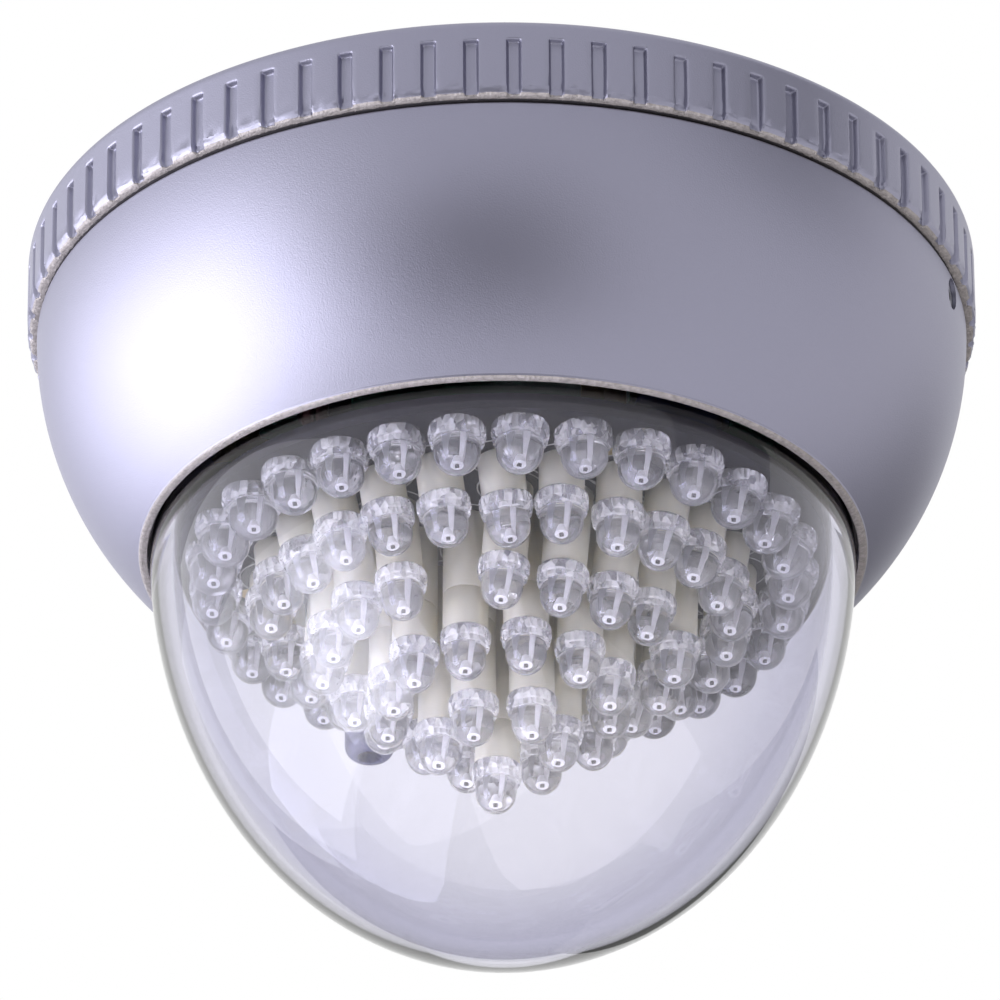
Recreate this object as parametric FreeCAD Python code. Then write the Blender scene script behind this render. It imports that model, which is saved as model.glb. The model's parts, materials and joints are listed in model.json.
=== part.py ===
import FreeCAD, Part
import math
import os

# Ceiling dome infrared illuminator: a ribbed base, a bulging cover, a clear dome and a cone of
# light-emitting diodes on stepped spacers. The origin is the centre of the ceiling face, +Z
# points up into the ceiling, so everything hangs towards -Z. Lengths are in millimetres.
# Azimuths are in degrees from -Y, the front, towards +X.

# Base: plate, ribbed rim and the skirt that the cover slides over
rim_diameter = 99.8
rim_height = 8.8
rim_edge_radius = 1.0
rib_count = 72
rib_azimuth = 1.6
groove_width = 1.3
groove_depth = 0.65
plain_band = 2.4
rib_foot_bevel = 0.9
plate_thickness = 3.0
skirt_wall = 2.15
skirt_reach = 5.4
mount_hole_diameter = 4.5
mount_circle_inset = 6.31
mount_hole_count = 3
mount_azimuth = 82.0
seal_width = 1.8
seal_depth = 1.2
seal_inset = 2.4
seal_clearance = 0.1

# Cable way through the plate
cable_hole_diameter = 14.0
grommet_bore = 7.0
grommet_lip = 1.5
grommet_lip_height = 1.2

# Cover
cover_step = 1.04
cover_height = 25.8
cover_wall = 2.3
cover_fit_gap = 0.1
skirt_foot_gap = 0.5
cover_seam_gap = 0.4
lip_gap = 0.55
lip_land = 0.9
lip_corner_height = 1.3
lip_corner_width = 0.955
dome_seat_height = 5.0
grub_drop = 2.0
grub_diameter = 3.0
grub_hole_clearance = 0.15
grub_length = 4.0
grub_recess = 0.5
grub_azimuth = 74.0
grub_count = 2

# Dome, its seal and its clamp ring
dome_setback = 13.45
dome_drop = 44.5
dome_equator_rise = 1.2
dome_wall = 2.2
dome_flange_width = 3.1
dome_flange_thickness = 2.0
dome_flange_clearance = 0.3
gasket_thickness = 0.6
gasket_sleeve = 0.4
gasket_setback = 0.9
clamp_ring_thickness = 2.0
clamp_ring_overlap = 0.8
clamp_ring_inner_gap = 0.5
clamp_screw_count = 6
clamp_screw_diameter = 1.8
clamp_screw_head_diameter = 3.2
clamp_screw_head_height = 1.2
clamp_screw_depth = 1.9
clamp_screw_inset = 1.3
clamp_screw_azimuth = 44.0
clamp_screw_clearance = 0.1

# Diode board and the diodes, counted from the outer ring to the centre
board_thickness = 1.6
board_edge_gap = 0.45
diode_ring_count = 5
outer_ring_inset = 3.55
ring_step_count = 6
diode_step = 4.62
ring_azimuths = (3.4, -0.7, 2.5, 11.7, 29.0)
empty_ring_index = 2
empty_place_index = 17
diode_gap = 0.25
flange_step = 0.52
flange_height = 1.9
lens_straight = 1.0
lens_sides = 8
lens_bands = 3
spacer_step = 0.55
spacer_wall = 0.4
spacer_sides = 8
lead_inset = 0.68
lead_width = 0.5

# Light sensor, in one place of the outer ring
sensor_place_index = 17
hood_gap = 0.65
hood_length = 6.6
hood_round = 1.3
hood_wall = 0.55
window_step = 0.85
window_depth = 1.2
sensor_gap = 0.1
sensor_height = 2.2

# Pillars, boards and the parts on the upper board
pillar_circle_inset = 6.8
pillar_azimuth = 22.0
pillar_count = 3
pillar_boss_radius = 4.0
pillar_boss_height = 2.0
pillar_screw_diameter = 3.0
pillar_screw_head_diameter = 6.0
pillar_screw_head_height = 1.7
pillar_screw_length = 9.5
screw_sink = 0.2
upper_pillar_length = 10.0
upper_pillar_flats = 5.5
lower_pillar_flats = 4.5
stud_diameter = 2.4
stud_length = 4.0
spigot_diameter = 2.0
hole_clearance = 0.1
control_board_gap = 12.31
capacitor_diameter = 10.0
capacitor_height = 13.0
capacitor_azimuth = 95.0
relay_size = (15.0, 10.5, 10.0)
relay_azimuth = 215.0
inductor_diameter = 9.0
inductor_height = 5.5
inductor_azimuth = 335.0
rectifier_size = (8.2, 6.4, 2.6)
rectifier_azimuth = 165.0
regulator_size = (10.2, 4.6, 9.0)
regulator_tab = (10.2, 1.3, 6.0)
regulator_azimuth = 275.0
terminal_size = (10.2, 8.0, 8.5)
terminal_azimuth = 0.0
terminal_screw_diameter = 3.0
terminal_screw_height = 0.6
terminal_pitch = 5.0
terminal_wire_hole = 2.6
part_circle_inset = 14.0
resistor_size = (3.2, 1.6, 0.6)
resistor_count = 18
resistor_circle_inset = 12.6
link_diameter = 1.3
link_pitch = 1.8
link_circle_inset = 3.0
link_azimuth = 320.0

# Heights and radii that follow from the sizes above
rim_radius = rim_diameter / 2
cover_radius = rim_radius - cover_step
cover_top = -(rim_height + cover_seam_gap)
lip = cover_top - cover_height
skirt_radius = cover_radius - cover_wall - cover_fit_gap
skirt_inner_radius = skirt_radius - skirt_wall
skirt_foot = cover_top - skirt_reach
mount_circle_radius = skirt_inner_radius - mount_circle_inset
grub_height = cover_top - grub_drop
dome_radius = rim_radius - dome_setback
dome_inner_radius = dome_radius - dome_wall
dome_equator = lip + dome_equator_rise
dome_depth = dome_drop + dome_equator_rise
opening_radius = dome_radius + lip_gap
lip_corner_radius = opening_radius + lip_land + lip_corner_width
bulge_drop = cover_height - lip_corner_height
bulge_step = cover_radius - lip_corner_radius
cover_bulge_radius = (bulge_drop ** 2 + bulge_step ** 2) / (2 * bulge_step)
seat = lip + dome_seat_height
flange_radius = dome_radius + dome_flange_width
flange_foot = seat + gasket_thickness
flange_top = flange_foot + dome_flange_thickness
clamp_top = flange_top + clamp_ring_thickness
clamp_screw_circle = flange_radius - clamp_screw_inset
board_top = lip
board_foot = board_top - board_thickness
board_radius = dome_inner_radius - board_edge_gap
outer_ring_radius = board_radius - outer_ring_inset
diode_ring_pitch = outer_ring_radius / diode_ring_count
flange_diameter = diode_ring_pitch - diode_gap
lens_diameter = flange_diameter - 2 * flange_step
spacer_diameter = flange_diameter - 2 * spacer_step
spacer_bore = spacer_diameter - 2 * spacer_wall
lead_spacing = spacer_bore - 2 * lead_inset
hood_diameter = diode_ring_pitch - hood_gap
hood_bore = hood_diameter - 2 * hood_wall
window_diameter = hood_bore - 2 * window_step
sensor_diameter = hood_bore - 2 * sensor_gap
pillar_circle_radius = board_radius - pillar_circle_inset
resistor_circle_radius = board_radius - resistor_circle_inset
control_board_radius = skirt_inner_radius - control_board_gap
part_circle_radius = control_board_radius - part_circle_inset
link_circle_radius = control_board_radius - link_circle_inset
boss_foot = -plate_thickness - pillar_boss_height
control_top = boss_foot - upper_pillar_length
control_foot = control_top - board_thickness

up = FreeCAD.Vector(0, 0, 1)
centre = FreeCAD.Vector(0, 0, 0)


def place(radius, azimuth, z=0.0):
    turn = math.radians(azimuth)
    return FreeCAD.Vector(radius * math.sin(turn), -radius * math.cos(turn), z)


def in_section(point):
    return FreeCAD.Vector(point[0], 0, point[1])


# A wire in the XZ plane through (radius, z) points. A step is an end point, or a pair of a
# middle and an end point for an arc.
def section_edges(start, steps):
    here = in_section(start)
    edges = []
    for step in steps:
        if isinstance(step[0], tuple):
            end = in_section(step[1])
            edges.append(Part.Arc(here, in_section(step[0]), end).toShape())
        else:
            end = in_section(step)
            edges.append(Part.makeLine(here, end))
        here = end
    return edges


def turned_edges(edges):
    face = Part.Face(Part.Wire(edges))
    return face.revolve(centre, up, 360)


def turned(start, *steps):
    return turned_edges(section_edges(start, steps + (start,)))


def rod(radius, low, high, at=centre):
    foot = FreeCAD.Vector(at.x, at.y, low)
    return Part.makeCylinder(radius, high - low, foot)


def pipe(inner, outer, low, high):
    return rod(outer, low, high).cut(rod(inner, low, high))


def radial_rod(radius, near, far, azimuth, z):
    start = place(near, azimuth, z)
    return Part.makeCylinder(radius, far - near, start, place(1, azimuth))


# A block centred on a place of a circle, with its first side across the radius.
def block(size, radius, azimuth, low):
    body = Part.makeBox(*size, FreeCAD.Vector(-size[0] / 2, -size[1] / 2, low))
    body.translate(FreeCAD.Vector(0, -radius, 0))
    body.rotate(centre, up, azimuth)
    return body


def azimuths(count, first):
    return [first + 360.0 * i / count for i in range(count)]


def around(body, count, first=0.0):
    copies = []
    for azimuth in azimuths(count, first):
        copy = body.copy()
        copy.rotate(centre, up, azimuth)
        copies.append(copy)
    return copies


def polygon(radius, sides, z):
    corners = []
    for i in range(sides):
        turn = 2 * math.pi * (i + 0.5) / sides
        corners.append(FreeCAD.Vector(radius * math.cos(turn), radius * math.sin(turn), z))
    return corners


# A solid with flat faces between polygons of the given (radius, z), from one end to the other.
def faceted(levels, sides):
    rings = [polygon(radius, sides, z) for radius, z in levels]
    faces = []
    for ring in (rings[0], rings[-1]):
        faces.append(Part.Face(Part.makePolygon(ring + ring[:1])))
    for ring, following in zip(rings, rings[1:]):
        for i in range(sides):
            j = (i + 1) % sides
            corners = [ring[i], ring[j], following[j], following[i], ring[i]]
            faces.append(Part.Face(Part.makePolygon(corners)))
    shell = Part.makeShell(faces)
    shell.sewShape()
    body = Part.Solid(shell)
    if body.Volume < 0:
        body.reverse()
    return body


def hexagon(flats, low, high, at):
    corners = polygon(flats / math.sqrt(3), 6, low)
    body = Part.Face(Part.makePolygon(corners + corners[:1])).extrude(up * (high - low))
    body.translate(at)
    return body


def export(name, bodies):
    shape = Part.makeCompound(bodies) if isinstance(bodies, list) else bodies
    shape.exportStep(os.path.join("parts", name + ".step"))


# Base and what fastens it

def rim_blank():
    bevel_top = -rim_height + rib_foot_bevel
    corner = rim_edge_radius * (1 - math.sqrt(0.5))
    return turned(
        (0, 0),
        (rim_radius - rim_edge_radius, 0),
        ((rim_radius - corner, -corner), (rim_radius, -rim_edge_radius)),
        (rim_radius, bevel_top),
        (rim_radius - rib_foot_bevel, -rim_height),
        (skirt_radius, -rim_height),
        (skirt_radius, skirt_foot),
        (skirt_inner_radius, skirt_foot),
        (skirt_inner_radius, -plate_thickness),
        (0, -plate_thickness),
    )


def rim_grooves():
    length = rim_height - plain_band + 1
    floor = rim_radius - groove_depth
    corner = FreeCAD.Vector(-groove_width / 2, -rim_radius - 1, -plain_band - length)
    cutter = Part.makeBox(groove_width, rim_radius + 1 - floor, length, corner)
    return around(cutter, rib_count, rib_azimuth)


def seal_radii():
    outer = rim_radius - seal_inset
    return outer - seal_width, outer


def pillar_places():
    return [place(pillar_circle_radius, a) for a in azimuths(pillar_count, pillar_azimuth)]


def pillar_screw(at, clearance=0.0):
    head = pillar_screw_head_diameter / 2 + clearance
    shank = pillar_screw_diameter / 2 + clearance
    head_foot = -screw_sink - pillar_screw_head_height
    cone = Part.makeCone(shank, head, pillar_screw_head_height,
                         FreeCAD.Vector(at.x, at.y, head_foot))
    return cone.fuse(rod(shank, -screw_sink - pillar_screw_length, head_foot, at))


def pillar_screw_hole(at):
    sink = rod(pillar_screw_head_diameter / 2 + hole_clearance, -screw_sink, 1, at)
    return pillar_screw(at, hole_clearance).fuse(sink)


def base():
    body = rim_blank()
    for at in pillar_places():
        body = body.fuse(rod(pillar_boss_radius, boss_foot, -plate_thickness, at))
    inner, outer = seal_radii()
    cuts = rim_grooves()
    cuts.append(pipe(inner - seal_clearance, outer + seal_clearance, -seal_depth, 1))
    neck = cable_hole_diameter / 2
    cuts.append(rod(neck, -plate_thickness - 1, 1))
    cuts.append(rod(neck + grommet_lip, -grommet_lip_height, 1))
    for azimuth in azimuths(mount_hole_count, mount_azimuth):
        at = place(mount_circle_radius, azimuth)
        cuts.append(rod(mount_hole_diameter / 2, -plate_thickness - 1, 1, at))
    cuts += [pillar_screw_hole(at) for at in pillar_places()]
    hole = grub_diameter / 2 + hole_clearance
    for azimuth in azimuths(grub_count, grub_azimuth):
        near = skirt_inner_radius - 1
        cuts.append(radial_rod(hole, near, skirt_radius + 1, azimuth, grub_height))
    return body.cut(cuts)


def ceiling_seal():
    inner, outer = seal_radii()
    return pipe(inner, outer, -seal_depth, 0)


# Neck in the plate's hole, a lip below the plate and one let into its ceiling side.
def cable_grommet():
    bore = grommet_bore / 2
    neck = cable_hole_diameter / 2
    lip_radius = neck + grommet_lip
    foot = -plate_thickness - grommet_lip_height
    return turned(
        (bore, 0),
        (lip_radius, 0),
        (lip_radius, -grommet_lip_height),
        (neck, -grommet_lip_height),
        (neck, -plate_thickness),
        (lip_radius, -plate_thickness),
        (lip_radius - grommet_lip / 3, foot),
        (bore, foot),
    )


# Cover

def bulge_radius_at(z, wall=0.0):
    reach = cover_bulge_radius - wall
    drop = cover_top - z
    return cover_radius - cover_bulge_radius + math.sqrt(reach ** 2 - drop ** 2)


def cover_blank():
    corner_top = lip + lip_corner_height
    land = opening_radius + lip_land
    corner = (land + 0.75 * lip_corner_width, lip + 0.25 * lip_corner_height)
    middle = (cover_top + corner_top) / 2
    return turned(
        (0, cover_top),
        (cover_radius, cover_top),
        ((bulge_radius_at(middle), middle), (lip_corner_radius, corner_top)),
        (corner, (land, lip)),
        (0, lip),
    )


def cover_hollow():
    middle = (cover_top + seat) / 2
    shoulder = turned(
        (0, cover_top + 1),
        (cover_radius - cover_wall, cover_top + 1),
        (cover_radius - cover_wall, cover_top),
        ((bulge_radius_at(middle, cover_wall), middle),
         (bulge_radius_at(seat, cover_wall), seat)),
        (0, seat),
    )
    skirt_pocket = rod(cover_radius - cover_wall, skirt_foot - skirt_foot_gap, cover_top + 1)
    flange_pocket = rod(flange_radius + dome_flange_clearance, seat, clamp_top)
    opening = rod(opening_radius, lip - 1, seat + 1)
    return [shoulder, skirt_pocket, flange_pocket, opening]


def cover():
    body = cover_blank().cut(cover_hollow())
    cuts = []
    hole = grub_diameter / 2 + grub_hole_clearance
    for azimuth in azimuths(grub_count, grub_azimuth):
        cuts.append(radial_rod(hole, skirt_radius - 1, rim_radius + 1, azimuth, grub_height))
    hole = clamp_screw_diameter / 2 + clamp_screw_clearance
    for azimuth in azimuths(clamp_screw_count, clamp_screw_azimuth):
        at = place(clamp_screw_circle, azimuth)
        cuts.append(rod(hole, seat - clamp_screw_depth, seat + 1, at))
    return body.cut(cuts)


# Socket set screws, sunk in the cover's wall, with their points in the skirt.
def grub_screws():
    far = cover_radius - grub_recess
    bodies = []
    for azimuth in azimuths(grub_count, grub_azimuth):
        near = far - grub_length
        screw = radial_rod(grub_diameter / 2, near, far, azimuth, grub_height)
        socket = radial_rod(grub_diameter / 4, far - grub_length / 3, far + 1, azimuth, grub_height)
        bodies.append(screw.cut(socket))
    return bodies


# Dome

# Quarter of an ellipse about the axis, from its lowest point out to its widest.
def quarter_ellipse(radius, depth, z):
    middle = FreeCAD.Vector(0, 0, z)
    low = FreeCAD.Vector(0, 0, z - depth)
    wide = FreeCAD.Vector(radius, 0, z)
    if depth >= radius:
        curve = Part.Ellipse(low, wide, middle)
        return Part.ArcOfEllipse(curve, 0, math.pi / 2).toShape()
    curve = Part.Ellipse(wide, FreeCAD.Vector(0, 0, z + depth), middle)
    return Part.ArcOfEllipse(curve, 1.5 * math.pi, 2 * math.pi).toShape()


def dome_blank(radius, depth, rise_to):
    edges = [quarter_ellipse(radius, depth, dome_equator)]
    steps = ((radius, rise_to), (0, rise_to), (0, dome_equator - depth))
    edges += section_edges((radius, dome_equator), steps)
    return turned_edges(edges)


def clamp_screw_holes(low, high):
    hole = clamp_screw_diameter / 2 + clamp_screw_clearance
    places = azimuths(clamp_screw_count, clamp_screw_azimuth)
    return [rod(hole, low, high, place(clamp_screw_circle, a)) for a in places]


def dome():
    body = dome_blank(dome_radius, dome_depth, flange_top)
    body = body.fuse(rod(flange_radius, flange_foot, flange_top))
    hollow = dome_blank(dome_inner_radius, dome_depth - dome_wall, flange_top + 1)
    return body.cut([hollow] + clamp_screw_holes(flange_foot - 1, flange_top + 1))


# Flat ring under the dome's flange with a sleeve that fills the gap inside the lip.
def dome_gasket():
    ring = pipe(dome_radius, flange_radius, seat, flange_foot)
    sleeve = pipe(opening_radius - gasket_sleeve, opening_radius, lip + gasket_setback, seat)
    return ring.fuse(sleeve).cut(clamp_screw_holes(seat - 1, flange_foot + 1))


def clamp_ring():
    inner = board_radius + clamp_ring_inner_gap
    outer = flange_radius + clamp_ring_overlap
    body = pipe(inner, outer, flange_top, clamp_top)
    return body.cut(clamp_screw_holes(flange_top - 1, clamp_top + 1))


def clamp_screws():
    bodies = []
    for azimuth in azimuths(clamp_screw_count, clamp_screw_azimuth):
        at = place(clamp_screw_circle, azimuth)
        head_top = clamp_top + clamp_screw_head_height
        head = rod(clamp_screw_head_diameter / 2, clamp_top, head_top, at)
        shank = rod(clamp_screw_diameter / 2, seat - clamp_screw_depth, clamp_top, at)
        slot = rod(clamp_screw_head_diameter / 5, head_top - clamp_screw_head_height / 2,
                   head_top + 1, at)
        bodies.append(head.fuse(shank).cut(slot))
    return bodies


# Diode board, diodes and spacers

def ring_radius(ring):
    return (diode_ring_count - ring) * diode_ring_pitch


def ring_places(ring):
    if ring == diode_ring_count:
        return [centre]
    count = (diode_ring_count - ring) * ring_step_count
    places = [place(ring_radius(ring), a) for a in azimuths(count, ring_azimuths[ring])]
    if ring == 0:
        del places[sensor_place_index]
    if ring == empty_ring_index:
        del places[empty_place_index]
    return places


def diode_top(ring):
    return board_foot - ring * diode_step


def sensor_at():
    places = azimuths(diode_ring_count * ring_step_count, ring_azimuths[0])
    return place(ring_radius(0), places[sensor_place_index])


def diode_board():
    body = rod(board_radius, board_foot, board_top)
    hole = spigot_diameter / 2 + hole_clearance
    return body.cut([rod(hole, board_foot - 1, board_top + 1, at) for at in pillar_places()])


# Wide foot, straight body and round tip, cut in flat bands.
def diode():
    foot = flange_diameter / 2
    body = lens_diameter / 2
    bend = -flange_height - lens_straight
    levels = [(foot, 0), (foot, -flange_height), (body, -flange_height), (body, bend)]
    for band in range(1, lens_bands):
        turn = math.radians(90.0 * band / (lens_bands - 0.6))
        levels.append((body * math.cos(turn), bend - body * math.sin(turn)))
    levels[-1] = (levels[-1][0], bend - body)
    return faceted(levels, lens_sides)


def copies_at(body, places, z):
    bodies = []
    for at in places:
        copy = body.copy()
        copy.translate(FreeCAD.Vector(at.x, at.y, z))
        bodies.append(copy)
    return bodies


def diodes(ring):
    return copies_at(diode(), ring_places(ring), diode_top(ring))


def spacers(ring):
    length = ring * diode_step
    outer = faceted([(spacer_diameter / 2, 0), (spacer_diameter / 2, length)], spacer_sides)
    bore = faceted([(spacer_bore / 2, -1), (spacer_bore / 2, length + 1)], 4)
    bore.rotate(centre, up, 45)
    return copies_at(outer.cut(bore), ring_places(ring), diode_top(ring))


# Two square leads for each diode that stands off the board.
def leads():
    bodies = []
    for ring in range(1, diode_ring_count + 1):
        length = ring * diode_step
        for side in (-1, 1):
            corner = FreeCAD.Vector(side * lead_spacing / 2 - lead_width / 2, -lead_width / 2, 0)
            lead = Part.makeBox(lead_width, lead_width, length, corner)
            bodies += copies_at(lead, ring_places(ring), diode_top(ring))
    return bodies


# Light sensor

def sensor_hood():
    outer = hood_diameter / 2
    foot = board_foot - hood_length
    corner = hood_round * (1 - math.sqrt(0.5))
    window = window_diameter / 2
    shelf = foot + window_depth
    bore = hood_bore / 2
    body = turned(
        (window, foot),
        (outer - hood_round, foot),
        ((outer - corner, foot + corner), (outer, foot + hood_round)),
        (outer, board_foot),
        (bore, board_foot),
        (bore, shelf),
        (window, shelf),
    )
    body.translate(sensor_at())
    return body


def sensor():
    at = sensor_at()
    shelf = board_foot - hood_length + window_depth
    top = shelf + sensor_height
    bodies = rod(sensor_diameter / 2, shelf, top, at)
    for side in (-1, 1):
        corner = FreeCAD.Vector(at.x + side * lead_spacing / 2 - lead_width / 2,
                                at.y - lead_width / 2, top)
        bodies = bodies.fuse(Part.makeBox(lead_width, lead_width, board_foot - top, corner))
    return bodies


# Pillars and the upper board

def upper_pillars():
    bodies = []
    screw_hole = pillar_screw_diameter / 2 + hole_clearance
    stud_hole = stud_diameter / 2 + hole_clearance
    screw_foot = -screw_sink - pillar_screw_length
    stud_top = control_foot + stud_length
    for at in pillar_places():
        body = hexagon(upper_pillar_flats, control_top, boss_foot, at)
        screw_bore = rod(screw_hole, screw_foot, boss_foot + 1, at)
        stud_bore = rod(stud_hole, control_top - 1, stud_top, at)
        bodies.append(body.cut([screw_bore, stud_bore]))
    return bodies


def lower_pillars():
    bodies = []
    for at in pillar_places():
        body = hexagon(lower_pillar_flats, board_top, control_foot, at)
        stud = rod(stud_diameter / 2, control_foot, control_foot + stud_length, at)
        spigot = rod(spigot_diameter / 2, board_foot, board_top, at)
        bodies.append(body.fuse([stud, spigot]))
    return bodies


def control_board():
    body = rod(control_board_radius, control_foot, control_top)
    hole = stud_diameter / 2 + hole_clearance
    return body.cut([rod(hole, control_foot - 1, control_top + 1, at) for at in pillar_places()])


def capacitor():
    at = place(part_circle_radius, capacitor_azimuth)
    body = rod(capacitor_diameter / 2, control_foot - capacitor_height, control_foot, at)
    return body.makeFillet(capacitor_diameter / 20, [body.Edges[0], body.Edges[2]])


def inductor():
    at = place(part_circle_radius, inductor_azimuth)
    foot = control_foot - inductor_height
    body = rod(inductor_diameter / 2, foot, control_foot, at)
    return body.cut(rod(inductor_diameter / 5, foot - 1, control_foot - inductor_height / 2, at))


def hanging_block(size, azimuth):
    return block(size, part_circle_radius, azimuth, control_foot - size[2])


def standing_block(size, azimuth):
    return block(size, part_circle_radius, azimuth, control_top)


# Moulded body hanging by its leads' side from the board, with its metal tab below.
def regulator():
    body = hanging_block(regulator_size, regulator_azimuth)
    low = control_foot - regulator_size[2] - regulator_tab[2]
    inward = part_circle_radius - regulator_size[1] / 2 + regulator_tab[1] / 2
    return body.fuse(block(regulator_tab, inward, regulator_azimuth, low))


def terminal_places(radius):
    bodies = []
    for side in (-1, 1):
        at = FreeCAD.Vector(side * terminal_pitch / 2, -radius, 0)
        bodies.append(at)
    return bodies


# Two-way screw terminal, its wire mouths towards the cable hole.
def terminal_block():
    body = block(terminal_size, part_circle_radius, 0, control_top)
    top = control_top + terminal_size[2]
    cuts = []
    for at in terminal_places(part_circle_radius):
        cuts.append(rod(terminal_screw_diameter / 2 + hole_clearance,
                        top - 2 * terminal_screw_height, top + 1, at))
        mouth = FreeCAD.Vector(at.x, at.y + terminal_size[1] / 2 + 1,
                               control_top + terminal_size[2] / 3)
        cuts.append(Part.makeCylinder(terminal_wire_hole / 2, terminal_size[1] / 2 + 1, mouth,
                                      FreeCAD.Vector(0, -1, 0)))
    body = body.cut(cuts)
    body.rotate(centre, up, terminal_azimuth)
    return body


def terminal_screws():
    top = control_top + terminal_size[2] - terminal_screw_height
    bodies = []
    for at in terminal_places(part_circle_radius):
        body = rod(terminal_screw_diameter / 2, top - terminal_screw_height, top, at)
        body.rotate(centre, up, terminal_azimuth)
        bodies.append(body)
    return bodies


def resistors():
    body = block(resistor_size, resistor_circle_radius, 0, board_top)
    return around(body, resistor_count)


def link_wires():
    bodies = []
    for side in (-1, 1):
        wire = rod(link_diameter / 2, board_top, control_foot,
                   FreeCAD.Vector(side * link_pitch / 2, -link_circle_radius, 0))
        wire.rotate(centre, up, link_azimuth)
        bodies.append(wire)
    return bodies


os.makedirs("parts", exist_ok=True)

export("base", base())
export("ceiling_seal", ceiling_seal())
export("cable_grommet", cable_grommet())
export("cover", cover())
export("cover_grub_screws", grub_screws())
export("dome", dome())
export("dome_gasket", dome_gasket())
export("dome_clamp_ring", clamp_ring())
export("dome_clamp_screws", clamp_screws())
export("diode_board", diode_board())
export("diode_board_resistors", resistors())

ring_names = ("outer_ring", "second_ring", "third_ring", "fourth_ring", "inner_ring", "centre")
for ring, name in enumerate(ring_names):
    export("diodes_" + name, diodes(ring))
    if ring > 0:
        export("spacers_" + name, spacers(ring))
export("diode_leads", leads())

export("sensor_hood", sensor_hood())
export("light_sensor", sensor())
export("pillar_screws", [pillar_screw(at) for at in pillar_places()])
export("upper_pillars", upper_pillars())
export("lower_pillars", lower_pillars())
export("control_board", control_board())
export("filter_capacitor", capacitor())
export("inductor", inductor())
export("sensor_relay", hanging_block(relay_size, relay_azimuth))
export("bridge_rectifier", standing_block(rectifier_size, rectifier_azimuth))
export("current_regulator", regulator())
export("supply_terminal", terminal_block())
export("supply_terminal_screws", terminal_screws())
export("board_link_wires", link_wires())
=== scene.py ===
import json
import math
import bpy
import numpy as np
from mathutils import Matrix, Vector


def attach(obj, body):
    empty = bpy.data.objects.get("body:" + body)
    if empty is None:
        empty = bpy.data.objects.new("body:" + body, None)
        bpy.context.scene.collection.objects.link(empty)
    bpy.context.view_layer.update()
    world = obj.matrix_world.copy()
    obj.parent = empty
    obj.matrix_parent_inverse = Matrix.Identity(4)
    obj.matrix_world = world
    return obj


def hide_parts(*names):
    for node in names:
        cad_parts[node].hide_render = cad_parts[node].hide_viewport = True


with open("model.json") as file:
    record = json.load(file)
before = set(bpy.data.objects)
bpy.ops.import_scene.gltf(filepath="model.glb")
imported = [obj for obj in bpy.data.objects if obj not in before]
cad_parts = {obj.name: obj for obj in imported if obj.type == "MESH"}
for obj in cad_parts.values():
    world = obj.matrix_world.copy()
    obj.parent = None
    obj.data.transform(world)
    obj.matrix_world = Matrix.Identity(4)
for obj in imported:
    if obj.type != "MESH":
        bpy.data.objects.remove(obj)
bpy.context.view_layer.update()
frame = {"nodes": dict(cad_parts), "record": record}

# Ceiling dome infrared illuminator, seen from below. Sizes in the dictionaries are in
# millimetres and degrees, azimuths run from -Y towards +X, and heights from the ceiling face.

mm = 0.001


# Geometry helpers

# Point at radius r and azimuth a: (r sin a, -r cos a, z).
def placeAt(radius, azimuth, z=0.0):
    turn = np.radians(azimuth)
    return np.array([radius * np.sin(turn), -radius * np.cos(turn), z])


# Arc through n points: centre + radius (cos t, sin t), t from start to end in degrees.
def arcPoints(centreR, centreZ, radius, start, end, count):
    t = np.radians(np.linspace(start, end, count))
    return np.column_stack([centreR + radius * np.cos(t), centreZ + radius * np.sin(t)])


# A profile (r, z) turned about Z: (r sin t, -r cos t, z) with t in equal steps. A profile that
# starts or ends on the axis gets one pole there, and a closed one joins its last row to its first.
def turnedShape(profile, segments, closed=False):
    profile = np.asarray(profile, float)
    startPole = not closed and profile[0, 0] < 1e-9
    endPole = not closed and profile[-1, 0] < 1e-9
    rows = profile[int(startPole):len(profile) - int(endPole)]
    t = np.arange(segments) * 2 * np.pi / segments
    grid = np.stack([rows[:, :1] * np.sin(t), -rows[:, :1] * np.cos(t),
                     np.repeat(rows[:, 1:], segments, axis=1)], axis=-1)
    return gridShape(grid, closed, profile[0] if startPole else None,
                     profile[-1] if endPole else None)


# Quads between the rows of a grid whose columns close on themselves, with fans to the poles.
def gridShape(grid, closed=False, startPole=None, endPole=None):
    rowCount, segments = grid.shape[:2]
    verts = grid.reshape(-1, 3)
    rowIndex = np.arange(rowCount if closed else rowCount - 1)[:, None]
    column = np.arange(segments)[None, :]
    following = (column + 1) % segments
    below = (rowIndex + 1) % rowCount
    quads = np.stack([rowIndex * segments + column, rowIndex * segments + following,
                      below * segments + following, below * segments + column], axis=-1)
    faces = [quads.reshape(-1, 4)]
    for pole, row, order in ((startPole, 0, (0, 2, 1)), (endPole, rowCount - 1, (0, 1, 2))):
        if pole is not None:
            tip = len(verts)
            verts = np.vstack([verts, [[0.0, 0.0, pole[1]]]])
            a = row * segments + column[0]
            b = row * segments + following[0]
            fan = np.column_stack([np.full(segments, tip), a, b])
            faces.append(fan[:, order])
    return verts, faces


# Box from its corner points, faces outwards.
def boxShape(low, high):
    x, y, z = zip(low, high)
    verts = np.array([(i, j, k) for k in z for j in y for i in x], float)
    faces = np.array([(0, 2, 3, 1), (4, 5, 7, 6), (0, 1, 5, 4),
                      (2, 6, 7, 3), (0, 4, 6, 2), (1, 3, 7, 5)])
    return verts, [faces]


# Copies of one shape: each vertex becomes M v for every 4 x 4 matrix M in the stack.
def copiedShape(shape, matrices):
    verts, faces = shape
    whole = np.column_stack([verts, np.ones(len(verts))])
    moved = np.einsum("kij,nj->kni", matrices, whole)[:, :, :3]
    offsets = (np.arange(len(matrices)) * len(verts))[:, None, None]
    return moved.reshape(-1, 3), [(f[None] + offsets).reshape(-1, f.shape[1]) for f in faces]


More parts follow.
